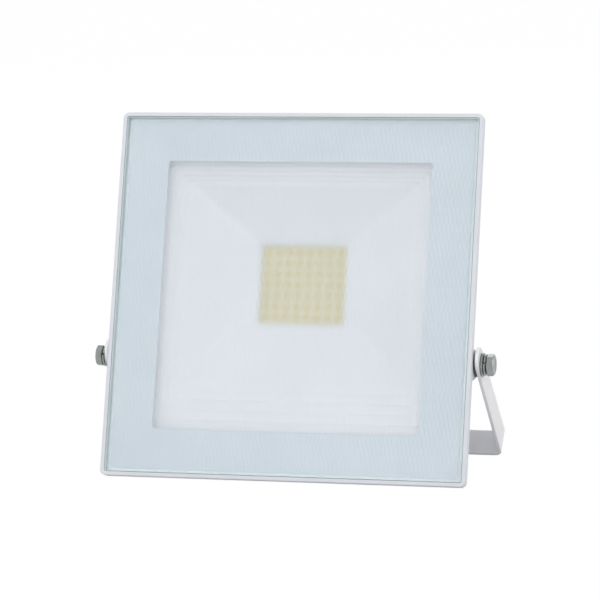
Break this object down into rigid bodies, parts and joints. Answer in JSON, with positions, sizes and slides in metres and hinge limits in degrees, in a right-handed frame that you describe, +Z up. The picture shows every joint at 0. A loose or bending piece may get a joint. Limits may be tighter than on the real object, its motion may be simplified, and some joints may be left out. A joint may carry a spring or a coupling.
{
  "type": "LED floodlight",
  "caption": "Square white LED floodlight: shallow finned die-cast head with textured front glass and funnel reflector, tilting in a U bracket on side bolts.",
  "frame": {"origin": "middle of the bounding box's footprint, on the floor that the lamp stands on", "axes": "+X along the tilt axis, to the right of someone who faces the glass; -Y the way the glass faces; +Z up"},
  "size_m": [0.2086, 0.089, 0.1797],
  "materials": {
    "white_casting": "white powder coat on die-cast aluminium",
    "white_bracket": "white powder coat on steel strip",
    "front_glass": "textured tempered glass with a faint green edge",
    "white_print": "white ceramic print behind the glass",
    "silicone": "matt translucent silicone",
    "reflector_white": "satin white moulding",
    "led_board": "white solder mask with cream LED packages",
    "epoxy_black": "matt moulded epoxy",
    "epoxy_blue": "dipped epoxy",
    "lacquer_green": "baked lacquer",
    "terminal_white": "moulded nylon",
    "gland_nylon": "satin moulded nylon",
    "black_rubber": "matt rubber",
    "zinc_steel": "bright zinc plate"
  },
  "bodies": {
    "lamp_head": {"housing": "white_casting", "front_glass": "front_glass", "glass_border": "white_print", "glass_seal": "silicone", "reflector": "reflector_white", "led_board": "led_board", "driver_ic_1": "epoxy_black", "driver_ic_2": "epoxy_black", "driver_ic_3": "epoxy_black", "driver_ic_4": "epoxy_black", "bridge_rectifier": "epoxy_black", "varistor": "epoxy_blue", "fuse_resistor": "lacquer_green", "terminal_block": "terminal_white", "board_screw_1": "zinc_steel", "board_screw_2": "zinc_steel", "board_screw_3": "zinc_steel", "board_screw_4": "zinc_steel", "reflector_screw_1": "zinc_steel", "reflector_screw_2": "zinc_steel", "reflector_screw_3": "zinc_steel", "reflector_screw_4": "zinc_steel", "earth_screw": "zinc_steel", "gland_body": "gland_nylon", "gland_cap_nut": "gland_nylon", "gland_locknut": "gland_nylon", "gland_seal": "black_rubber", "gland_gasket": "black_rubber", "rubber_washer_left": "black_rubber", "rubber_washer_right": "black_rubber", "flat_washer_left": "zinc_steel", "flat_washer_right": "zinc_steel", "spring_washer_left": "zinc_steel", "spring_washer_right": "zinc_steel", "pivot_bolt_left": "zinc_steel", "pivot_bolt_right": "zinc_steel"},
    "bracket": {"bracket": "white_bracket"}
  },
  "joints": [
    {"name": "bracket_tilt", "type": "hinge", "parent": "lamp_head", "child": "bracket", "pos_m": [0, -0.01239, 0.05692], "axis": [1, 0, 0], "range_deg": [-225, 88]}
  ]
}
